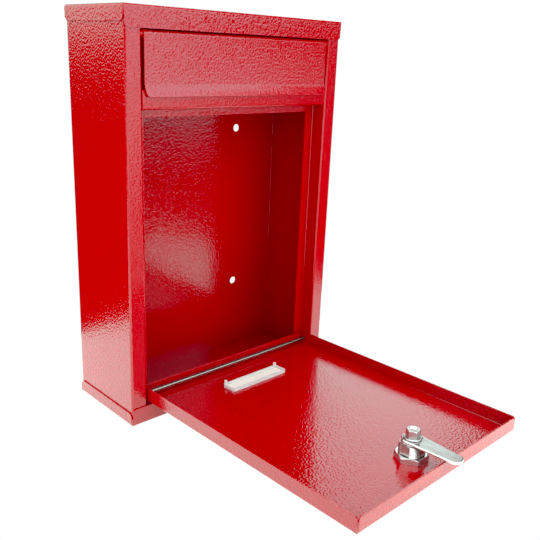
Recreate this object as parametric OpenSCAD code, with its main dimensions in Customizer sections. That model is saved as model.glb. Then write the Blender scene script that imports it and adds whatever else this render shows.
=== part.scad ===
// Donation box: sheet-steel wall box with a pull-up letter flap and a drop-down,
// bottom-hinged collecting door held by a cam lock.
// Millimetres. Origin: middle of the base tray's underside. +X right, +Y to the wall, +Z up.

/* [Box] */
// Width of the wrapped body, side face to side face
body_width = 212; // [190:1:260]
// Depth of the wrapped body, front face to wall face
body_depth = 78; // [70:1:110]
// Overall height, tray underside to cap top
box_height = 310; // [280:1:380]
// Steel sheet thickness
sheet = 1.0; // [0.8:0.1:1.2]
// Width of the front flange beside the opening
flange_width = 13.6; // [12:0.2:20]
// Depth of the folded jamb behind the flange, up to the stop face
jamb_depth = 13.2; // [13.2:0.1:14]
// Width of the stop flange behind the door edge
stop_width = 8.9; // [6:0.1:12]

/* [Cap and tray] */
// Height of the cap's front lip
cap_front_lip = 14.9; // [12:0.1:18]
// Height of the cap's side lips
cap_side_lip = 11.2; // [9:0.1:14]
// Height of the tray's front lip
tray_front_lip = 14.2; // [10:0.1:14.6]
// Height of the tray's side lips
tray_side_lip = 10.5; // [8:0.1:14]

/* [Door] */
// Height of the hinge axis above the tray's underside
hinge_height = 21.6; // [21.6:0.1:26]
// Angle of the door from shut, as the part is drawn
door_open = 89; // [0:1:100]
// Depth of the door's folded lips
door_lip = 11.7; // [10.4:0.1:11.8]
// Diameter of both hinge rods
rod_diameter = 3.0; // [2.6:0.1:3.2]
// Length of the name-card window
window_length = 52; // [30:1:70]
// Distance of the name-card window from the hinge axis
window_from_hinge = 30; // [24:1:80]

/* [Letter slot] */
// Distance of the crossbar's lower edge below the cap top
slot_rail_drop = 68.8; // [64:0.2:76]
// Height of the crossbar's visible face
rail_height = 13.8; // [12:0.2:18]
// Angle of the letter flap from shut, as the part is drawn
flap_open = 0; // [0:1:100]
// Angle the flap's finger lip is bent out by
finger_bend = 17; // [15:0.5:20]

/* [Lock] */
// Distance of the lock axis below the door's top edge
lock_drop = 28; // [24:0.5:31]
// Angle of the cam from its locked, upward position
cam_turn = 0; // [0:1:90]
// Reach of the cam from the lock axis
cam_reach = 38.5; // [34:0.5:42]

/* [Wall fixing] */
// Distance between the wall holes across the back
hole_span_x = 118; // [90:1:150]
// Distance between the wall holes up the back
hole_span_z = 148; // [100:1:200]
// Diameter of the wall holes
hole_diameter = 7.0; // [5:0.5:9]

/* [Hidden] */
$fn = 48;

paint = [0.74, 0.02, 0.03];
steel = [0.72, 0.72, 0.70];
zinc  = [0.80, 0.80, 0.78];
brass = [0.78, 0.63, 0.32];
clear = [0.86, 0.90, 0.88];
white = [0.95, 0.95, 0.93];

cut = 1;                       // how far a cutting solid runs past a face
fold_in = 0.7;                 // inside radius of every fold
fold_out = fold_in + sheet;    // outside radius of every fold
seam = 0.3;                    // width of the open butt seams
rod_r = rod_diameter / 2;
run_gap = 0.05;                // radial clearance of a turning fit

// Body
half_width = body_width / 2;
front_y = -body_depth / 2;     // front face of the flanges
wall_y = body_depth / 2;       // wall face
open_x = half_width - flange_width;      // face of each jamb
stop_y = front_y + jamb_depth; // front face of the stop flanges
rod_half = half_width - sheet - 1.0;     // half length of both hinge rods
hole_drop = 13.8;              // centre of the wall holes below mid height

// Crossbar
rail_z0 = box_height - slot_rail_drop;   // underside
rail_z1 = rail_z0 + rail_height;         // top
rail_stop_z0 = rail_z0 - 6.5;            // lower edge of the stop flange
split_z = rail_z0 - 0.1;       // the body's stop flanges end here, just under the crossbar

// Door, as it lies when shut
hinge_y = front_y + 5.6;
hinge_z = hinge_height;
door_half = open_x - 1.4;
door_z0 = hinge_z - 5;
door_z1 = rail_z0 - 1.2;
lip_y = front_y + door_lip;    // rear edge of the folded lips
skin_y = front_y + sheet;      // rear face of the door's skin
lock_z = door_z1 - lock_drop;
window_z = hinge_z + window_from_hinge;
window_height = 10;

// Letter flap, as it lies when shut
flap_half = open_x - 1.9;
curl_r = rod_r + run_gap + sheet;        // outside radius of the rolled top edge
flap_top = box_height - cap_front_lip - 0.8;
flap_y = front_y + curl_r;     // rod axis
flap_z = flap_top - curl_r;
flap_bend_z = rail_z1 + 4.2;
flap_bottom = rail_z1 - 5.1;
finger_length = (flap_bend_z - flap_bottom) / cos(finger_bend);

// ---------------------------------------------------------------- helpers

// The waste outside a rounded corner whose sharp point is at the origin
module corner(r, turn) {
  rotate(turn) difference() {
    translate([-1, -1]) square([r + 1, r + 1]);
    translate([r, r]) circle(r = r);
    translate([r, -2]) square([2, r + 4]);
    translate([-2, r]) square([r + 4, 2]);
  }
}

// Rectangle between two opposite corners, rounded by r where a flag is set,
// in the order low-left, low-right, high-right, high-left
module rounded_rect(low, high, r, flags = [1, 1, 1, 1]) {
  points = [low, [high[0], low[1]], high, [low[0], high[1]]];
  difference() {
    translate(low) square(high - low);
    for (i = [0:3])
      if (flags[i]) translate(points[i]) corner(r, 90 * i);
  }
}

// Quarter of a fold about a centre; turn 0 fills its +x +y quarter
module fold(centre, turn) {
  translate(centre) rotate(turn) intersection() {
    difference() {
      circle(r = fold_out);
      circle(r = fold_in);
    }
    square([fold_out + 1, fold_out + 1]);
  }
}

module both_sides() {
  for (m = [0, 1]) mirror([m, 0, 0]) children();
}

// Extrude a (y, z) outline along X from x0 to x1
module along_x(x0, x1) {
  translate([x0, 0, 0]) rotate([90, 0, 90]) linear_extrude(x1 - x0) children();
}

// The same, half the length to each side of the middle
module across(half) {
  along_x(-half, half) children();
}

// Extrude an (x, z) outline along Y from y0 to y1
module along_y(y0, y1) {
  translate([0, y1, 0]) rotate([90, 0, 0]) linear_extrude(y1 - y0) children();
}

module rod_x(r, x0, x1, y, z) {
  translate([x0, y, z]) rotate([0, 90, 0]) cylinder(r = r, h = x1 - x0);
}

// Hinge rod holes through a sheet at each side, whose outer faces are at +-outer_x
module bearing_holes(outer_x, y, z) {
  for (x = [-outer_x - cut, outer_x - sheet - cut])
    rod_x(rod_r + run_gap, x, x + sheet + 2 * cut, y, z);
}

// Cylinder on the z axis
module disc(r, z, h) {
  translate([0, 0, z]) cylinder(r = r, h = h);
}

// Swing by an angle about an axis along X
module swing(angle, y, z) {
  translate([0, y, z]) rotate([angle, 0, 0]) translate([0, -y, -z]) children();
}

// Swing from the shut position to the drawn one
module on_door() {
  swing(door_open, hinge_y, hinge_z) children();
}

module on_flap() {
  swing(-flap_open, flap_y, flap_z) children();
}

// With the door shut, local z runs inwards from its outer face and local -y points up
module on_lock() {
  on_door() translate([0, front_y, lock_z]) rotate([-90, 0, 0]) children();
}

module on_plug() {
  on_lock() rotate([0, 0, cam_turn]) children();
}

// ---------------------------------------------------------------- fixed body

// One wrapped sheet seen in plan: back, sides, front flanges and jambs
module wrap_section(jamb_end) {
  gap_half = open_x + fold_out;
  difference() {
    rounded_rect([-half_width, front_y], [half_width, wall_y], fold_out);
    rounded_rect([-half_width + sheet, front_y + sheet], [half_width - sheet, wall_y - sheet],
                 fold_in);
    translate([-gap_half, front_y - cut]) square([2 * gap_half, sheet + 2 * cut]);
  }
  both_sides() {
    fold([gap_half, front_y + fold_out], 180);
    translate([open_x, front_y + fold_out]) square([sheet, jamb_end - front_y - fold_out]);
  }
}

// Stop flanges that the shut door backs onto
module stop_section() {
  both_sides() {
    fold([open_x - fold_in, stop_y - fold_in], 0);
    translate([open_x - stop_width, stop_y]) square([stop_width - fold_in, sheet]);
  }
}

// Room for the inside folds of the cap and tray
module pan_fold_room() {
  height = sheet + fold_in;
  for (z = [0, box_height - height]) {
    for (x = [-half_width - cut, half_width - sheet])
      translate([x, front_y - cut, z]) cube([sheet + cut, body_depth + 1.5, height]);
    translate([-half_width - cut, front_y - cut, z])
      cube([body_width + 2 * cut, sheet + cut, height]);
  }
}

module wall_holes() {
  for (x = [-1, 1], z = [-1, 1])
    translate([x * hole_span_x / 2, wall_y + cut,
               box_height / 2 - hole_drop + z * hole_span_z / 2])
      rotate([90, 0, 0]) cylinder(d = hole_diameter, h = sheet + 2 * cut);
}

module body_shell() color(paint) difference() {
  union() {
    translate([0, 0, sheet]) linear_extrude(split_z - sheet) {
      wrap_section(stop_y - fold_in);
      stop_section();
    }
    translate([0, 0, split_z]) linear_extrude(box_height - sheet - split_z)
      wrap_section(stop_y + sheet);
  }
  pan_fold_room();
  bearing_holes(open_x + sheet, hinge_y, hinge_z);
  bearing_holes(open_x + sheet, flap_y, flap_z);
  wall_holes();
}

// Shallow pan folded from one sheet: front lip, side lips, open at the wall side.
// The side lips butt against the ends of the front lip.
module pan(front_lip, side_lip) {
  outer_x = half_width + sheet;
  outer_y = front_y - sheet;
  blank = 30;          // height of the block the lips are cut down from
  plan_r = 1.2;
  front_end_r = 5;     // ends of the front lip
  side_end_r = 4;      // front ends of the side lips
  clip = 3;            // rear ends of the side lips
  difference() {
    intersection() {
      along_y(outer_y, wall_y)
        rounded_rect([-outer_x, 0], [outer_x, blank], fold_out, [1, 1, 0, 0]);
      across(outer_x) rounded_rect([outer_y, 0], [wall_y, blank], fold_out, [1, 0, 0, 0]);
      linear_extrude(blank)
        rounded_rect([-outer_x, outer_y], [outer_x, wall_y], plan_r, [1, 1, 0, 0]);
    }
    intersection() {
      along_y(front_y, wall_y + cut)
        rounded_rect([-half_width, sheet], [half_width, blank + cut], fold_in, [1, 1, 0, 0]);
      across(half_width)
        rounded_rect([front_y, sheet], [wall_y + cut, blank + cut], fold_in, [1, 0, 0, 0]);
    }
    // trim the side lips, then the front lip, to height
    translate([-half_width - 5, front_y, side_lip]) cube([body_width + 10, body_depth + 5, 40]);
    translate([-half_width - 5, front_y - 5, front_lip])
      cube([body_width + 10, body_depth + 9, 40]);
    along_y(outer_y - cut, front_y) {
      translate([-outer_x, front_lip]) corner(front_end_r, 270);
      translate([outer_x, front_lip]) corner(front_end_r, 180);
    }
    for (x = [-outer_x - cut, half_width]) {
      along_x(x, x + sheet + cut) {
        translate([front_y, side_lip]) corner(side_end_r, 270);
        polygon([
          [wall_y - clip, side_lip + 0.1],
          [wall_y + cut, side_lip + 0.1],
          [wall_y + cut, side_lip - clip - cut],
          [wall_y, side_lip - clip],
          [wall_y - clip, side_lip]
        ]);
      }
      // open butt seam at the front corner
      translate([x, front_y, fold_out + 0.4]) cube([sheet + cut, seam, 30]);
    }
  }
}

module base_tray() color(paint) pan(tray_front_lip, tray_side_lip);

module roof_cap() color(paint)
  translate([0, 0, box_height]) mirror([0, 0, 1]) pan(cap_front_lip, cap_side_lip);

// Folded rail between the letter slot and the door; its lower leg is the lock's keeper
module slot_crossbar() color(paint) {
  fold_y = front_y + fold_out;
  top_leg = 7;         // straight part of the top leg
  tab_inset = 2.5;     // end tabs, from the front face
  tab_depth = 8;
  tab_short = 3.5;     // how much lower the end tabs are than the rail
  across(open_x) {
    translate([fold_y, rail_z1 - sheet]) square([top_leg, sheet]);
    fold([fold_y, rail_z1 - fold_out], 90);
    translate([front_y, rail_z0 + fold_out]) square([sheet, rail_height - 2 * fold_out]);
    fold([fold_y, rail_z0 + fold_out], 180);
    translate([fold_y, rail_z0]) square([jamb_depth - fold_out - fold_in, sheet]);
  }
  // stop flange, fitting between those of the body
  across(open_x - stop_width - 0.2) {
    fold([stop_y - fold_in, rail_z0 - fold_in], 0);
    translate([stop_y, rail_stop_z0]) square([sheet, rail_z0 - fold_in - rail_stop_z0]);
  }
  for (x = [-open_x, open_x - sheet])
    translate([x, front_y + tab_inset, rail_z0 + sheet / 2])
      cube([sheet, tab_depth, rail_height - tab_short]);
}

// ---------------------------------------------------------------- letter flap

// Seen from the side: rolled top edge, flat leaf and finger lip
module flap_section() {
  // rolled edge that turns on the rod
  translate([flap_y, flap_z]) difference() {
    circle(r = curl_r);
    circle(r = rod_r + run_gap);
    translate([-curl_r - 1, -curl_r - 1]) square([curl_r + 1, curl_r + 1]);
  }
  translate([front_y, flap_bend_z]) square([sheet, flap_z - flap_bend_z]);
  translate([front_y + sheet, flap_bend_z]) {
    // finger lip, bent outwards
    rotate(-finger_bend) translate([-sheet, -finger_length]) square([sheet, finger_length]);
    // round outside of the bend
    intersection() {
      circle(r = sheet);
      polygon([[0, 0], [-3, 0], [-3, -3 * tan(finger_bend)]]);
    }
  }
}

module letter_flap() color(paint) on_flap() intersection() {
  across(flap_half) flap_section();
  along_y(front_y - 20, front_y + 20)
    rounded_rect([-flap_half, flap_bottom - 1], [flap_half, flap_top + 1], 6, [1, 1, 0, 0]);
}

module flap_hinge_rod() color(steel) rod_x(rod_r, -rod_half, rod_half, flap_y, flap_z);

// ---------------------------------------------------------------- door

door_face_r = 1.2;     // corners of the door seen from the front
hinge_lip = 10.5;      // depth of the hinge-side lip
hinge_end_r = 4.2;     // side lips' corners at the hinge
top_end_r = 2.8;       // side lips' corners at the top edge
top_lip_r = 3;         // ends of the top lip
hinge_seam = 1.2;      // width of the butt seams at the hinge
door_seam_y = front_y + fold_out + 0.3;  // front end of the butt seams

holder_length = window_length + 8;
holder_height = 14.2;
holder_depth = 2.4;
holder_floor = 1.0;
holder_rim = 1.5;
post_r = 1.4;
post_length = 4.6;
post_inset = 2.3;      // from the holder's ends
card_thickness = 0.3;
card_rise = 0.7;       // centre of the card above the window's, with the door shut

// (x, z) rectangle centred on the name-card window
module window_rect(length, height, r) {
  rounded_rect([-length / 2, window_z - height / 2], [length / 2, window_z + height / 2], r);
}

module door_inside() {
  inner_x = door_half - sheet;
  z0 = door_z0 + sheet;
  z1 = door_z1 - sheet;
  intersection() {
    across(inner_x) rounded_rect([skin_y, z0], [lip_y + 5, z1], fold_in, [1, 0, 0, 1]);
    translate([0, 0, z0]) linear_extrude(z1 - z0)
      rounded_rect([-inner_x, skin_y], [inner_x, lip_y + 5], fold_in, [1, 1, 0, 0]);
  }
}

// Rounded lip ends and the butt seams at the door's corners
module door_lip_ends() {
  inner_x = door_half - sheet;
  both_sides() {
    along_x(inner_x, door_half + cut) {
      translate([lip_y, door_z0]) corner(hinge_end_r, 90);
      translate([lip_y, door_z1]) corner(top_end_r, 180);
    }
    translate([0, 0, door_z1 - sheet - 0.01]) linear_extrude(sheet + cut)
      translate([inner_x - seam, lip_y]) corner(top_lip_r, 180);
    translate([inner_x - seam, door_seam_y, door_z1 - sheet - cut])
      cube([seam, 12, sheet + 2 * cut]);
    translate([inner_x - hinge_seam, door_seam_y, door_z0 - cut])
      cube([hinge_seam, 12, sheet + 2 * cut]);
  }
}

module door_panel() color(paint) on_door() difference() {
  intersection() {
    along_y(front_y, lip_y)
      rounded_rect([-door_half, door_z0], [door_half, door_z1], door_face_r);
    across(door_half)
      rounded_rect([front_y, door_z0], [lip_y + 5, door_z1], fold_out, [1, 0, 0, 1]);
    translate([0, 0, door_z0]) linear_extrude(door_z1 - door_z0)
      rounded_rect([-door_half, front_y], [door_half, lip_y + 5], fold_out, [1, 1, 0, 0]);
  }
  door_inside();
  // the hinge-side lip is shallower so that it clears the stop flanges as it swings
  translate([-door_half + sheet, front_y + hinge_lip, door_z0 - cut])
    cube([2 * (door_half - sheet), 5, sheet + 1.5]);
  door_lip_ends();
  bearing_holes(door_half, hinge_y, hinge_z);
  // lock hole with four flats
  translate([0, front_y - cut, lock_z]) rotate([-90, 0, 0]) intersection() {
    cylinder(r = barrel_r + 0.1, h = sheet + 2 * cut);
    flats_block(0.1, 0, sheet + 2 * cut);
  }
  along_y(front_y - cut, skin_y + cut) window_rect(window_length, window_height, 1.2);
}

module door_hinge_rod() color(steel) rod_x(rod_r, -rod_half, rod_half, hinge_y, hinge_z);

// Clear holder: a lens that fills the window and a rimmed tray behind it
module label_holder() color(clear) on_door() {
  difference() {
    union() {
      along_y(skin_y, skin_y + holder_depth) window_rect(holder_length, holder_height, 2.5);
      along_y(front_y, skin_y + 0.5) window_rect(window_length - 0.2, window_height - 0.2, 1.1);
    }
    along_y(skin_y + holder_floor, skin_y + 5)
      window_rect(holder_length - 2 * holder_rim, holder_height - 2 * holder_rim, 1.3);
  }
  // two posts that hold the card down, on the hinge-side rim
  for (side = [-1, 1])
    translate([side * (holder_length / 2 - post_inset), skin_y + 0.5,
               window_z - holder_height / 2 + holder_rim])
      rotate([-90, 0, 0]) cylinder(r = post_r, h = post_length);
}

module label_card() color(white) on_door()
  along_y(skin_y + holder_floor, skin_y + holder_floor + card_thickness)
    translate([0, card_rise]) window_rect(holder_length - 5, holder_height - 5, 0.5);

// ---------------------------------------------------------------- lock

// Depths are along the lock axis, from the door's outer face inwards
barrel_r = 9.3;
barrel_flat_x = 8.15;  // half width across the side flats
barrel_flat_y = 8.5;   // half width across the upper and lower flats
barrel_end = 13.2;
stop_ring_r = 8.2;     // outside radius of the half ring and of the washer's tooth
plug_r = 6.5;
stem = 9.0;            // side of the plug's square stem
nut_flats = 20.8;      // across flats
nut_height = 4.5;
washer_z = barrel_end + 0.15;
cam_z0 = 14.6;
cam_z1 = 16.6;
cam_tip_r = 7;
cam_washer_height = 1.2;
screw_z = cam_z1 + cam_washer_height;    // underside of the screw head
screw_flats = 8.9;     // across flats
screw_head = 5.6;      // height of the head

wafer_depths = [0.3, 2.1, 3.9, 5.7];     // outer face of each wafer
wafer_thickness = 1;
slot_gap = 0.1;        // wafer slot clearance on each face
slot_height = wafer_thickness + 2 * slot_gap;
pocket_y = -1.65;      // floor of each spring pocket
spring_x = 3.45;       // spring axis
spring_r = 0.53;
spring_core_r = 0.23;

// Radius of the hexagon with this width across flats
function hex_r(flats) = flats / sqrt(3);

function arc(r, angles) = [for (a = angles) r * [cos(a), sin(a)]];

// Block whose sides are the barrel's four flats
module flats_block(gap, z, height) {
  x = barrel_flat_x + gap;
  y = barrel_flat_y + gap;
  translate([-x, -y, z]) cube([2 * x, 2 * y, height]);
}

module stem_hole(height) {
  side = stem + 0.06;
  translate([-side / 2, -side / 2, 0]) cube([side, side, height]);
}

// Rounded front head, threaded barrel with four flats, rear stop for the washer
module lock_housing() color(zinc) on_lock() difference() {
  union() {
    // outlines in (radius, depth)
    rotate_extrude()
      polygon([[0, -2.6], [9.6, -2.6], [10.6, -2.0], [11.2, -0.9], [11.2, 0], [0, 0]]);
    intersection() {
      rotate_extrude()
        polygon([[0, -0.5], [barrel_r, -0.5], [barrel_r, barrel_end - 0.8],
                 [barrel_r - 0.8, barrel_end], [0, barrel_end]]);
      flats_block(0, -0.5, 20);
    }
    // half ring behind the barrel: the washer's tooth turns a quarter turn between its ends
    intersection() {
      difference() {
        disc(stop_ring_r, 0, barrel_end + 1.0);
        disc(7.1, -1, 30);
      }
      translate([0, -12, barrel_end - 0.5]) cube([12, 24, 10]);
    }
  }
  disc(plug_r + run_gap, -5, 30);
  // recess for the plug's front disc
  disc(7.6, -5, 4.0);
}

module lock_nut() color(zinc) on_lock() difference() {
  intersection() {
    disc(hex_r(nut_flats), sheet, nut_height, $fn = 6);
    rotate_extrude()
      polygon([[0, sheet], [11.4, sheet], [12.1, sheet + 0.5], [12.1, sheet + 3.6],
               [10.5, sheet + nut_height], [0, sheet + nut_height]]);
  }
  disc(barrel_r + 0.03, -1, 20);
}

// Turning core: front disc with keyway, body with wafer slots, square stem
module lock_plug() color(zinc) on_plug() difference() {
  union() {
    disc(7.5, -2.5, 1.4);
    disc(plug_r, -1.5, barrel_end + 1.6);
    translate([-stem / 2, -stem / 2, barrel_end - 0.5])
      cube([stem, stem, cam_z1 - 0.1 - barrel_end + 0.5]);
  }
  // keyway
  translate([-0.9, -3.8, -5]) cube([1.8, 7.6, 12.6]);
  // wafer slots, each with a side pocket for its spring
  for (z = wafer_depths) {
    translate([-2.6, -8, z - slot_gap]) cube([5.2, 16, slot_height]);
    translate([2.5, pocket_y, z - slot_gap]) cube([1.65, 5.2, slot_height]);
  }
  // bore for the cam screw
  disc(3.0, 8.6, 20);
}

// Stamped wafers, pulled in flush, each with a lug that its spring pushes on
module lock_wafers() color(brass) on_plug() for (z = wafer_depths) difference() {
  union() {
    intersection() {
      translate([-2.5, -8, z]) cube([5, 16, wafer_thickness]);
      disc(plug_r - 0.1, z, wafer_thickness);
    }
    translate([2.3, 2.65, z]) cube([1.8, 0.8, wafer_thickness]);
  }
  // key window, shorter in each deeper wafer
  translate([-1.2, -3.4, z - 1]) cube([2.4, 6.8 - z * 0.3, 3]);
}

// One coil spring beside each wafer, between its lug and the pocket floor
module lock_springs() color(steel) on_plug() for (z = wafer_depths)
  translate([spring_x, pocket_y, z + wafer_thickness / 2]) rotate([-90, 0, 0])
    linear_extrude(height = 4.3, twist = -1440, slices = 32, $fn = 8)
      polygon(concat(arc(spring_r, [-60, -30, 0, 30, 60]),
                     arc(spring_core_r, [60, 30, 0, -30, -60])));

// Quarter-turn limiter between barrel and cam
module lock_stop_washer() color(zinc) on_plug() difference() {
  union() {
    disc(6.9, washer_z, cam_z0 - washer_z);
    // tooth, a little under a quarter of the ring
    intersection() {
      disc(stop_ring_r, washer_z, cam_z0 - washer_z);
      translate([0, 0, barrel_end]) rotate([0, 0, 90.75]) linear_extrude(5)
        polygon([[0, 0], [14, 0], [14, 14], [0.37, 14]]);
    }
  }
  stem_hole(30);
}

// Flat tapered cam; it lies behind the crossbar's leg when the door is shut and locked
module lock_cam() color(steel) on_plug() difference() {
  union() {
    disc(8, cam_z0, cam_z1 - cam_z0);
    intersection() {
      translate([0, 0, cam_z0]) linear_extrude(cam_z1 - cam_z0)
        polygon([[-7.9, 0], [7.9, 0], [5.3, -cam_reach - 1], [-5.3, -cam_reach - 1]]);
      // rounds the tip
      translate([0, -cam_reach + cam_tip_r, 0]) {
        cylinder(r = cam_tip_r, h = 40);
        translate([-9, 0, 0]) cube([18, cam_reach, 40]);
      }
    }
  }
  stem_hole(40);
}

module cam_washer() color(steel) on_plug() difference() {
  disc(6.3, cam_z1, cam_washer_height);
  disc(3.1, 0, 30);
}

// Hexagon-head screw with a round dimple
module cam_screw() color(steel) on_plug() difference() {
  union() {
    translate([0, 0, screw_z]) intersection() {
      cylinder(r = hex_r(screw_flats), h = screw_head, $fn = 6);
      rotate_extrude() polygon([[0, 0], [5.3, 0], [5.3, 5.0], [4.4, screw_head], [0, screw_head]]);
    }
    disc(2.97, 9.4, cam_z1 - 8);
  }
  translate([0, 0, cam_z1 + 5.5]) cylinder(r1 = 2.2, r2 = 3.1, h = 1.4);
}

// ---------------------------------------------------------------- assembly

body_shell();
roof_cap();
base_tray();
slot_crossbar();
letter_flap();
flap_hinge_rod();
door_panel();
door_hinge_rod();
label_holder();
label_card();
lock_housing();
lock_nut();
lock_plug();
lock_wafers();
lock_springs();
lock_stop_washer();
lock_cam();
cam_washer();
cam_screw();
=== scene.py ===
"""Red sheet-metal letter box with a letter flap, a label holder and a cam lock on its door.

The box stands on z = 0 with its front towards -Y. The door hinges on X near its lower edge
and is swung forward by 89 degrees, so the lock's axis points almost straight up.
"""
import bpy
import bmesh
import math
from mathutils import Matrix, Vector


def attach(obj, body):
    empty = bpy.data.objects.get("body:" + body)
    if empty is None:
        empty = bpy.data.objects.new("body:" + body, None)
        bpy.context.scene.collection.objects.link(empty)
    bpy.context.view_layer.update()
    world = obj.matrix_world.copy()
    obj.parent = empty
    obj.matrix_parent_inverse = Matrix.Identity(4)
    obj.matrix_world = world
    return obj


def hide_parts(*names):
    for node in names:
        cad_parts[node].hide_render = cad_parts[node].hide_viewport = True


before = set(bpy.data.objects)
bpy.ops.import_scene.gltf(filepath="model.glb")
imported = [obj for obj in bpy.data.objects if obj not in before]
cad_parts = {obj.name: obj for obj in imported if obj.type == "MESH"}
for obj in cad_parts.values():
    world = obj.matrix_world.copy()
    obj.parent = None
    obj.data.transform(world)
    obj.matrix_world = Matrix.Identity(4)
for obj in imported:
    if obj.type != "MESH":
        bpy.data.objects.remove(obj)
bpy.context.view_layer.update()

scene = bpy.context.scene
FULL_TURN = 2 * math.pi

# Where the lock sits, in mm
HINGE = Vector((0, -33.4, 21.6))
FRONT_Y = -39.0
LOCK_Z = 212.0
DOOR_OPEN = math.radians(89)
# The lock's axis with the door open
LOCK_AXIS = (0.0, round(math.cos(DOOR_OPEN), 7), round(math.sin(DOOR_OPEN), 7))


# ---------------------------------------------------------------- node helpers
class Tree:
    """An emptied node tree with short ways to add nodes."""

    def __init__(self, node_tree):
        self.tree = node_tree
        self.tree.nodes.clear()

    def put(self, socket, value):
        """Links a socket or sets a value; colours are given without alpha."""
        if isinstance(value, bpy.types.NodeSocket):
            self.tree.links.new(value, socket)
        elif socket.type == "RGBA":
            socket.default_value = (*value, 1)
        else:
            socket.default_value = value

    def node(self, kind, inputs=None, **settings):
        node = self.tree.nodes.new(kind)
        for key, value in settings.items():
            setattr(node, key, value)
        for key, value in (inputs or {}).items():
            self.put(node.inputs[key], value)
        return node

    def source(self, kind, output):
        return self.node(kind).outputs[output]

    def split(self, vector):
        return self.node("ShaderNodeSeparateXYZ", {0: vector}).outputs

    def calc(self, operation, a, b=0.0, *more):
        values = dict(enumerate((a, b, *more)))
        return self.node("ShaderNodeMath", values, operation=operation).outputs[0]

    def times(self, a, b):
        return self.calc("MULTIPLY", a, b)

    def vector(self, operation, a, b):
        node = self.node("ShaderNodeVectorMath", {0: a, 1: b}, operation=operation)
        return node.outputs["Value" if operation == "DOT_PRODUCT" else 0]

    def scaled(self, vector, scale):
        inputs = {0: vector, 1: (0, 0, 0), "Scale": scale}
        return self.node("ShaderNodeVectorMath", inputs, operation="SCALE").outputs[0]

    def smooth(self, value, span=(0.3, 0.7), to=(0.0, 1.0)):
        """Eases from to[0] to to[1] over the span, by default the usual spread of a noise."""
        inputs = {
            "Value": value,
            "From Min": span[0], "From Max": span[1],
            "To Min": to[0], "To Max": to[1],
        }
        node = self.node("ShaderNodeMapRange", inputs, interpolation_type="SMOOTHSTEP", clamp=True)
        return node.outputs["Result"]

    def fall(self, value, span):
        return self.smooth(value, span, to=(1.0, 0.0))

    def mix(self, factor, a, b):
        node = self.node("ShaderNodeMix", {"Factor": factor}, data_type="RGBA")
        a_input, b_input = [s for s in node.inputs if s.type == "RGBA"]
        self.put(a_input, a)
        self.put(b_input, b)
        return [s for s in node.outputs if s.type == "RGBA"][0]

    def mottle(self, noise, a, b):
        """Two colours shared out by a noise."""
        return self.mix(self.smooth(noise), a, b)

    def noise(self, vector, scale, detail=2.0, roughness=0.5, distortion=0.0, output="Fac"):
        inputs = {
            "Vector": vector, "Scale": scale, "Detail": detail,
            "Roughness": roughness, "Distortion": distortion,
        }
        return self.node("ShaderNodeTexNoise", inputs).outputs[output]

    def bump(self, height, distance, strength, **under):
        """Bump; Normal=... lays it over another normal."""
        inputs = {"Strength": strength, "Distance": distance, "Height": height, **under}
        return self.node("ShaderNodeBump", inputs).outputs["Normal"]


class Finish(Tree):
    """A material around one Principled shader, textured in object coordinates (metres)."""

    def __init__(self, name):
        self.material = bpy.data.materials.new(name)
        self.material.use_nodes = True
        super().__init__(self.material.node_tree)
        self.output = self.node("ShaderNodeOutputMaterial")
        self.shader = self.node("ShaderNodeBsdfPrincipled")
        self.put(self.output.inputs["Surface"], self.shader.outputs[0])
        self.coord = self.source("ShaderNodeTexCoord", "Object")

    def stretched(self, scale):
        return self.vector("MULTIPLY", self.coord, scale)

    def done(self, inputs):
        for key, value in inputs.items():
            self.put(self.shader.inputs[key], value)
        return self.material


# ---------------------------------------------------------------- materials
def hammer_height(t):
    """Domed cells 2-3 mm across, with winding ridges and a fine grain over them."""
    warp = t.noise(t.coord, scale=420, detail=1.0, output="Color")
    offset = t.scaled(t.vector("SUBTRACT", warp, (0.5, 0.5, 0.5)), scale=0.0007)
    cell_inputs = {
        "Vector": t.vector("ADD", t.coord, offset),
        "Scale": 470, "Smoothness": 0.5, "Randomness": 1.0,
    }
    cells = t.node("ShaderNodeTexVoronoi", cell_inputs, feature="SMOOTH_F1").outputs["Distance"]
    domes = t.fall(cells, span=(0.10, 0.60))
    ridges = t.smooth(t.noise(t.coord, scale=640, detail=0.0, roughness=0.4))
    grain = t.noise(t.coord, scale=2200)
    dome_share, ridge_share, grain_share = 0.30, 0.70, 0.03
    height = t.times(domes, dome_share)
    height = t.calc("MULTIPLY_ADD", ridges, ridge_share, height)
    return t.calc("MULTIPLY_ADD", grain, grain_share, height)


def flap_gap_glow(t):
    """Light bounced between the painted edges of the narrow gap round the letter flap."""
    place = t.split(t.coord)
    wide = t.calc("ABSOLUTE", place["X"])
    painted_lit_sides = t.times(
        t.smooth(wide, span=(0.0876, 0.0884)),
        t.fall(wide, span=(0.0908, 0.0925)))
    lower_front = t.times(
        t.smooth(place["Z"], span=(0.244, 0.248)),
        t.smooth(place["Y"], span=(-0.0388, -0.0378)))
    gap = t.times(painted_lit_sides, lower_front)
    upper_back = t.times(
        t.fall(place["Y"], span=(0.020, 0.030)),
        t.fall(place["Z"], span=(0.304, 0.307)))
    glow_strength = 0.17
    return t.times(t.times(gap, upper_back), glow_strength)


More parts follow.
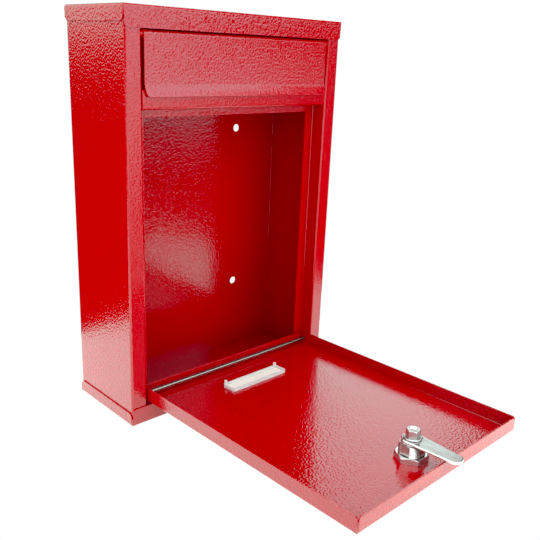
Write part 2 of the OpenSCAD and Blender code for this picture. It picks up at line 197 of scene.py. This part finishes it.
def red_paint():
    """Gloss powder coat with a fine hammered texture."""
    t = Finish("hammered_red_coat")
    height = hammer_height(t)
    waves = t.noise(t.coord, scale=30, detail=1.0)
    wavy = t.bump(waves, distance=0.0002, strength=0.3)
    normal = t.bump(height, distance=0.000085, strength=1.0, Normal=wavy)

    cloud = t.noise(t.coord, scale=14, detail=3.0, roughness=0.55)
    red = t.mottle(cloud, (0.300, 0.0, 0.0018), (0.322, 0.0, 0.0024))
    hollow_shade_share, edge_share = 0.30, 0.25
    # painted shade: the red darkens in the hollows of the hammered texture
    hollow_shade = t.times(t.calc("SUBTRACT", 1.0, height), hollow_shade_share)
    red = t.mix(hollow_shade, red, (0.255, 0.0, 0.0012))
    # painted highlight: the red turns lighter along sharp folds and edges
    pointiness = t.source("ShaderNodeNewGeometry", "Pointiness")
    edges = t.times(t.smooth(pointiness, span=(0.515, 0.56)), edge_share)
    red = t.mix(edges, red, (0.40, 0.012, 0.014))
    gloss = t.noise(t.coord, scale=90, detail=3.0, roughness=0.6)
    return t.done({
        "Normal": normal,
        "Base Color": red,
        "Roughness": t.smooth(gloss, to=(0.07, 0.11)),
        "Emission Strength": flap_gap_glow(t),
        "Emission Color": (1.0, 0.0, 0.006),
        "IOR": 1.5,
        "Specular Tint": (0.12, 1.0, 1.0),
    })


def drawn_steel():
    t = Finish("bright_drawn_rod")
    lines = t.noise(t.stretched((12.0, 900.0, 900.0)), scale=1.0, detail=3.0, roughness=0.6)
    spots = t.noise(t.coord, scale=900, roughness=0.6)
    steel = t.mottle(lines, (0.17, 0.16, 0.14), (0.23, 0.215, 0.19))
    spotting = t.smooth(spots, span=(0.62, 0.75), to=(0.0, 0.4))
    return t.done({
        "Base Color": t.mix(spotting, steel, (0.12, 0.11, 0.095)),
        "Metallic": 1.0,
        "Roughness": t.smooth(lines, to=(0.22, 0.36)),
        "Normal": t.bump(lines, distance=0.00002, strength=0.6),
    })


def plated(name, light, dark, roughness, grain=None, painted_lit_sides=None):
    """Plated metal; grain stretches the brushing; the side colour, when given, is a painted
    highlight on faces not square to the lock.
    """
    t = Finish(name)
    vector, scale = (t.stretched(grain), 1.0) if grain else (t.coord, 700)
    brushed = t.noise(vector, scale=scale, detail=4.0, roughness=0.6)
    cloud = t.noise(t.coord, scale=240, detail=3.0, roughness=0.6)
    metal = t.mottle(cloud, light, dark)
    # sharp edges drift towards a mid grey: a painted highlight on the dark cam, washer and screw
    # metals, a slight darkening on the bright zinc
    pointiness = t.source("ShaderNodeNewGeometry", "Pointiness")
    edge_share = 0.5
    edges = t.times(t.smooth(pointiness, span=(0.52, 0.60)), edge_share)
    metal = t.mix(edges, metal, (0.5, 0.5, 0.49))
    # painted highlight: faces not square to the lock's axis get the lighter side colour
    if painted_lit_sides:
        normal = t.source("ShaderNodeTexCoord", "Normal")
        square = t.calc("ABSOLUTE", t.vector("DOT_PRODUCT", normal, LOCK_AXIS))
        metal = t.mix(t.fall(square, span=(0.80, 0.985)), metal, painted_lit_sides)
    return t.done({
        "Base Color": metal,
        "Metallic": 1.0,
        "Roughness": t.smooth(brushed, span=(0.25, 0.75), to=roughness),
        "Normal": t.bump(brushed, distance=0.00001, strength=0.5),
    })


def stamped_brass():
    t = Finish("stamped_brass")
    cloud = t.noise(t.coord, scale=1400, detail=3.0, roughness=0.6)
    return t.done({
        "Base Color": t.mottle(cloud, (0.78, 0.58, 0.25), (0.60, 0.42, 0.17)),
        "Metallic": 1.0,
        "Roughness": t.smooth(cloud, to=(0.25, 0.4)),
        "Normal": t.bump(cloud, distance=0.00001, strength=0.5),
    })


def clear_plastic():
    t = Finish("clear_holder_plastic")
    swirl = t.noise(t.coord, scale=160, distortion=0.4)
    return t.done({
        "Base Color": t.mottle(swirl, (0.90, 0.84, 0.82), (0.84, 0.78, 0.76)),
        "Transmission Weight": 0.45,
        "IOR": 1.49,
        "Roughness": t.smooth(swirl, to=(0.04, 0.12)),
        "Normal": t.bump(swirl, distance=0.0001, strength=0.5),
    })


def blank_card():
    t = Finish("blank_card")
    fibre_vector = t.stretched((1500.0, 4200.0, 4200.0))
    fibre = t.noise(fibre_vector, scale=1.0, detail=4.0, roughness=0.6)
    return t.done({
        "Base Color": t.mottle(fibre, (0.68, 0.60, 0.56), (0.62, 0.54, 0.50)),
        "Roughness": 0.75,
        "Normal": t.bump(fibre, distance=0.00003, strength=0.5),
    })


PAINT = red_paint()
ROD = drawn_steel()
ZINC = plated(
    "bright_zinc", light=(0.66, 0.67, 0.66), dark=(0.56, 0.57, 0.56),
    roughness=(0.34, 0.46), painted_lit_sides=(0.70, 0.70, 0.71))
CAM = plated(
    "cam_zinc", light=(0.27, 0.28, 0.265), dark=(0.235, 0.25, 0.235),
    roughness=(0.22, 0.36), grain=(900.0, 60.0, 900.0), painted_lit_sides=(0.80, 0.79, 0.76))
SATIN = plated(
    "satin_zinc", light=(0.27, 0.28, 0.27), dark=(0.23, 0.24, 0.23),
    roughness=(0.30, 0.42), painted_lit_sides=(0.70, 0.70, 0.69))
CHROME = plated(
    "lock_chrome", light=(0.50, 0.50, 0.495), dark=(0.43, 0.43, 0.425), roughness=(0.26, 0.36))
BRASS = stamped_brass()
CLEAR = clear_plastic()
CARD = blank_card()


# ---------------------------------------------------------------- CAD pieces
def dress(name, material, edge=0.0, segments=3, clamp=True):
    """Gives a CAD piece its material, smooth folds and edges rounded by `edge` metres."""
    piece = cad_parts[name]
    mesh = piece.data
    mesh.materials.clear()
    mesh.materials.append(material)
    if "custom_normal" in mesh.attributes:
        mesh.attributes.remove(mesh.attributes["custom_normal"])
    mesh.shade_smooth()
    weld = piece.modifiers.new("weld", "WELD")
    weld.merge_threshold = 2e-6
    planar = piece.modifiers.new("planar", "DECIMATE")
    planar.decimate_type = "DISSOLVE"
    planar.angle_limit = math.radians(0.6)
    if edge:
        bevel = piece.modifiers.new("edges", "BEVEL")
        bevel.width = edge
        bevel.segments = segments
        bevel.limit_method = "ANGLE"
        bevel.angle_limit = math.radians(38)
        bevel.use_clamp_overlap = clamp
        bevel.miter_outer = "MITER_ARC"
        bevel.harden_normals = False
    normals = piece.modifiers.new("normals", "WEIGHTED_NORMAL")
    normals.keep_sharp = True
    normals.weight = 60


for sheet in ("body_shell", "roof_cap", "base_tray", "slot_crossbar", "letter_flap", "door_panel"):
    dress(sheet, PAINT, edge=0.00036)
dress("flap_hinge_rod", PAINT, edge=0.0003)
dress("door_hinge_rod", ROD, edge=0.0003)
dress("label_holder", CLEAR, edge=0.00018)
dress("label_card", CARD, edge=0.00004, segments=2)
dress("lock_nut", ZINC, edge=0.00025)
dress("lock_plug", CHROME, edge=0.0001, segments=2)
dress("lock_wafers", BRASS, edge=0.00005, segments=2)
dress("lock_springs", ROD)
dress("lock_stop_washer", ZINC, edge=0.0001)
dress("lock_cam", CAM, edge=0.00085, segments=5, clamp=False)
dress("cam_washer", SATIN, edge=0.0003)
dress("cam_screw", SATIN, edge=0.0003)

# ---------------------------------------------------------------- lock housing
# In mm, turned about the lock's axis; height 0 is the door's face, positive is behind it
BORE = 6.55
BARREL_START, BARREL_END = 0.02, 13.2
THREAD_RADIUS = 9.3
THREAD_DEPTH = 0.5
THREAD_PITCH = 1.0
THREAD_STEP = 0.125           # height between rings
BARREL_SIDES = 192
FLAT_X, FLAT_Y = 8.15, 8.5    # half widths across the barrel's two pairs of flats
END_CHAMFER = 0.7             # length of the taper at the barrel's end
END_TAPER = 0.9               # radius lost per mm of that taper

# Closed outlines: radius, height
HEAD_OUTLINE = [
    (7.6, -2.35), (7.75, -2.6), (9.5, -2.6), (10.3, -2.3), (10.9, -1.6), (11.2, -0.8),
    (11.2, -0.1), (11.1, 0.0), (BORE, 0.0), (BORE, -1.0), (7.6, -1.0),
]
HALF_RING_OUTLINE = [
    (7.15, 13.1), (8.2, 13.1), (8.2, 14.1), (8.1, 14.2), (7.25, 14.2), (7.15, 14.1),
]


def add_point(bm, radius, angle, height):
    return bm.verts.new((radius * math.cos(angle), radius * math.sin(angle), height))


def lathe(bm, outline, steps, start=0.0, end=FULL_TURN):
    """Turns a closed outline about the axis, capping the ends of a part turn."""
    full = end - start == FULL_TURN
    rings = []
    for k in range(steps if full else steps + 1):
        angle = start + (end - start) * k / steps
        rings.append([add_point(bm, radius, angle, height) for radius, height in outline])
    for k in range(steps):
        here, there = rings[k], rings[(k + 1) % len(rings)]
        for i in range(len(outline)):
            j = (i + 1) % len(outline)
            bm.faces.new((here[i], there[i], there[j], here[j]))
    if not full:
        bm.faces.new(list(reversed(rings[0])))
        bm.faces.new(rings[-1])


def thread_radius(angle, height):
    """Radius of the threaded barrel, cut by its end taper and its flats."""
    phase = (height / THREAD_PITCH - angle / FULL_TURN) % 1.0
    ramp = abs(2 * phase - 1)
    # 1.15 and 0.08 flatten the crests and roots of the triangular thread
    radius = THREAD_RADIUS - THREAD_DEPTH * min(1.0, max(0.0, 1.15 * ramp - 0.08))
    into_taper = max(0.0, height - (BARREL_END - END_CHAMFER))
    radius = min(radius, THREAD_RADIUS - END_TAPER * into_taper)
    for flat, slope in ((FLAT_X, abs(math.cos(angle))), (FLAT_Y, abs(math.sin(angle)))):
        if slope > 1e-6:
            radius = min(radius, flat / slope)
    return radius


def threaded_barrel(bm):
    ring_count = int((BARREL_END - BARREL_START) / THREAD_STEP) + 1
    heights = [BARREL_START + i * THREAD_STEP for i in range(ring_count)]
    angles = [FULL_TURN * k / BARREL_SIDES for k in range(BARREL_SIDES)]
    rings = [[add_point(bm, thread_radius(a, h), a, h) for a in angles] for h in heights]
    for height in (heights[-1], heights[0]):
        rings.append([add_point(bm, BORE, angle, height) for angle in angles])
    for i, ring in enumerate(rings):
        following = rings[(i + 1) % len(rings)]
        for k in range(BARREL_SIDES):
            j = (k + 1) % BARREL_SIDES
            bm.faces.new((ring[k], ring[j], following[j], following[k]))


def lock_placement():
    """From the lock's own mm frame to its place on the open door, in metres."""
    swing = Matrix.Rotation(DOOR_OPEN, 4, "X")
    on_door = Matrix.Translation(HINGE) @ swing @ Matrix.Translation(-HINGE)
    facing = Matrix.Rotation(math.radians(-90), 4, "X")
    on_lock = on_door @ Matrix.Translation((0, FRONT_Y, LOCK_Z)) @ facing
    return Matrix.Scale(0.001, 4) @ on_lock


def add_object(name, data):
    added = bpy.data.objects.new(name, data)
    scene.collection.objects.link(added)
    return added


def lock_housing():
    """Head, threaded barrel, and a half ring on the +X side of the barrel's end."""
    bm = bmesh.new()
    lathe(bm, HEAD_OUTLINE, steps=96)
    threaded_barrel(bm)
    lathe(bm, HALF_RING_OUTLINE, steps=40, start=-math.pi / 2, end=math.pi / 2)
    bmesh.ops.recalc_face_normals(bm, faces=bm.faces)
    bm.transform(lock_placement())
    mesh = bpy.data.meshes.new("lock_housing_threaded")
    bm.to_mesh(mesh)
    bm.free()
    mesh.shade_smooth()
    mesh.set_sharp_from_angle(angle=math.radians(32))
    mesh.materials.append(CHROME)
    return add_object("lock_housing_threaded", mesh)


housing = lock_housing()
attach(housing, "door")
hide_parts("lock_housing")


# ---------------------------------------------------------------- camera
def add_camera():
    data = bpy.data.cameras.new("camera")
    data.sensor_width = 36.0
    data.lens = 46.067
    data.clip_start = 0.01
    data.clip_end = 50.0
    camera = add_object("camera", data)
    right = (0.7290908, -0.6832630, 0.0397277)
    up = (0.1782143, 0.2455705, 0.9528561)
    back = (-0.6608073, -0.6876386, 0.3008104)
    pose = Matrix((right, up, back)).transposed().to_4x4()
    pose.translation = Vector((-0.362829, -0.453505, 0.283234))
    camera.matrix_world = pose
    scene.camera = camera


add_camera()

# ---------------------------------------------------------------- world
COOL, WARM, PLAIN = (0.97, 0.97, 1.03), (1.0, 1.0, 0.93), (1.0, 1.0, 1.0)

# Soft boxes in degrees, azimuth from -Y towards +X: azimuth span, elevation span,
# softness of the four limits in that order, level, tint, lean (azimuth per elevation)
MIRRORED_BOXES = [
    # front, lower and upper part, and a dimmer strip at its +X side
    ((8, 37.9), (-5, 3), (8, 1.5, 1, 1), 3.5, COOL, -1.5),
    ((8, 45.3), (3, 62), (8, 1.5, 1, 10), 4.8, COOL),
    ((45.3, 54), (3.5, 12), (1.5, 2, 1, 3), 2.1, COOL),
    # over the camera
    ((-100, 10), (38, 80), (10, 8, 5, 10), 4.0, PLAIN),
    # wall behind at -X, and the -X side
    ((-181, -100), (0.8, 60), (0.5, 20, 1, 15), 2.7, WARM),
    ((-115, -75), (-4, 60), (15, 8, 8, 15), 1.8, PLAIN),
    # strip behind at +X
    ((117.5, 133.5), (6, 58), (1.2, 1.2, 4, 8), 3.2, PLAIN),
]
FILL_BOXES = [
    ((-80, 75), (-18, 8), (25, 30, 6, 5), 3.4, PLAIN),
    ((-80, 60), (8, 62), (25, 25, 5, 12), 2.4, PLAIN),
    ((-181, -75), (0, 60), (0.5, 25, 8, 15), 2.2, PLAIN),
    ((110, 150), (6, 58), (10, 10, 6, 8), 2.0, PLAIN),
]
OVERHEAD_LEVEL = 3.0


def band(t, value, span, soft_low, soft_high):
    """1 within the span, with soft limits."""
    low, high = span
    return t.times(
        t.smooth(value, (low - soft_low, low + soft_low)),
        t.fall(value, (high - soft_high, high + soft_high)))


def studio_light(t, azimuth, elevation, boxes, overhead, base):
    """Sum of the soft boxes and an overhead diffuser that rises over a span of elevation."""
    lights = []
    for az_span, el_span, soft, level, tint, *lean in boxes:
        across = t.calc("MULTIPLY_ADD", elevation, -lean[0], azimuth) if lean else azimuth
        shape = t.times(
            band(t, across, az_span, *soft[:2]),
            band(t, elevation, el_span, *soft[2:]))
        lights.append((t.times(shape, level), tint))
    lights.append((t.times(t.smooth(elevation, overhead), OVERHEAD_LEVEL), PLAIN))
    total = (base, base, base)
    for level, tint in lights:
        total = t.vector("ADD", t.scaled(tint, scale=level), total)
    return total


def build_world():
    world = bpy.data.worlds.new("studio")
    scene.world = world
    world.use_nodes = True
    t = Tree(world.node_tree)
    output = t.node("ShaderNodeOutputWorld")
    axes = t.split(t.source("ShaderNodeTexCoord", "Generated"))
    to_degrees = 180 / math.pi
    heading = t.calc("ARCTAN2", axes["X"], t.times(axes["Y"], -1.0))
    azimuth = t.times(heading, to_degrees)
    elevation = t.times(t.calc("ARCSINE", axes["Z"]), to_degrees)
    # what the gloss mirrors, and the broad fill that lights the colour
    mirrored = studio_light(
        t, azimuth, elevation, MIRRORED_BOXES, overhead=(52, 75), base=0.02)
    fill = studio_light(t, azimuth, elevation, FILL_BOXES, overhead=(48, 75), base=0.12)
    rays = t.node("ShaderNodeLightPath").outputs
    light = t.mix(rays["Is Glossy Ray"], fill, mirrored)
    backdrop = (1.02, 1.02, 1.02)
    light = t.mix(rays["Is Camera Ray"], light, backdrop)
    background = t.node("ShaderNodeBackground", {"Color": light, "Strength": 1.0})
    t.put(output.inputs["Surface"], background.outputs[0])


def set_tone():
    view = scene.view_settings
    view.view_transform = "Standard"
    view.look = "None"
    view.use_curve_mapping = True
    tone = view.curve_mapping
    # a little black level in green and blue keeps the deep reds pure
    tone.black_level = (0.0, 0.018, 0.013)
    # and the brightest reds are held back
    red_curve = tone.curves[0].points
    for x, y in ((0.52, 0.52), (0.70, 0.64), (0.86, 0.72), (0.96, 0.86)):
        red_curve.new(x, y)
    for point in red_curve:
        point.handle_type = "VECTOR"
    tone.update()


build_world()
set_tone()


# ---------------------------------------------------------------- floor and front card
def stage_sheet(name, corners, material):
    """A one-face sheet the camera doesn't see."""
    mesh = bpy.data.meshes.new(name)
    mesh.from_pydata(corners, [], [tuple(range(len(corners)))])
    sheet = add_object(name, mesh)
    mesh.materials.append(material)
    sheet.visible_camera = False
    return sheet


def pale_floor():
    """The pale top of a lit table."""
    t = Finish("pale_floor")
    mottling = t.noise(t.coord, scale=8)
    glossy = t.source("ShaderNodeLightPath", "Is Glossy Ray")
    incoming = t.split(t.source("ShaderNodeNewGeometry", "Incoming"))
    base_glow, mirrored_extra = 0.7, 1.4
    t.done({
        "Base Color": t.mix(mottling, (0.62, 0.62, 0.60), (0.58, 0.58, 0.56)),
        "Roughness": 0.7,
        "Emission Color": (1, 1, 0.94),
        "Emission Strength": t.calc("MULTIPLY_ADD", glossy, mirrored_extra, base_glow),
    })
    # clear from below, so a door swung past the table's level is still lit, and clear when
    # mirrored along the box's depth, so a side wall seen nearly edge on doesn't bleach
    clear = t.node("ShaderNodeBsdfTransparent")
    below = t.source("ShaderNodeNewGeometry", "Backfacing")
    grazing = t.times(glossy, t.fall(incoming["Y"], span=(-0.92, -0.87)))
    either = t.node("ShaderNodeMixShader", {
        0: t.calc("MAXIMUM", below, grazing),
        1: t.shader.outputs[0],
        2: clear.outputs[0],
    })
    t.put(t.output.inputs["Surface"], either.outputs[0])
    return t.material


def tent_card():
    """Pale card that glows in reflections, brighter towards its top."""
    t = Finish("tent_wall_card")
    weave = t.noise(t.coord, scale=300)
    glossy = t.source("ShaderNodeLightPath", "Is Glossy Ray")
    level = t.smooth(t.split(t.coord)["Z"], span=(0.09, 0.15), to=(1.2, 2.3))
    return t.done({
        "Base Color": t.mix(weave, (0.62, 0.62, 0.60), (0.56, 0.56, 0.54)),
        "Emission Color": (1, 1, 1),
        "Emission Strength": t.times(glossy, level),
    })


FLOOR_Z = -0.0005
FLOOR_OUTLINE = [(-1.0, -0.36), (0.28, -0.36), (0.28, 0.155), (-1.0, 0.155)]    # x, y
floor = stage_sheet("floor", [(x, y, FLOOR_Z) for x, y in FLOOR_OUTLINE], pale_floor())

# The low front wall of the light tent, with its lower +X corner cut away
WALL_Y = -0.43
WALL_OUTLINE = [    # x, z
    (-0.60, 0.0), (0.168, 0.0), (0.168, 0.17), (0.27, 0.17), (0.27, 0.245), (-0.60, 0.245),
]
wall = stage_sheet("tent_wall_card", [(x, WALL_Y, z) for x, z in WALL_OUTLINE], tent_card())
wall.visible_shadow = False
wall.visible_diffuse = False
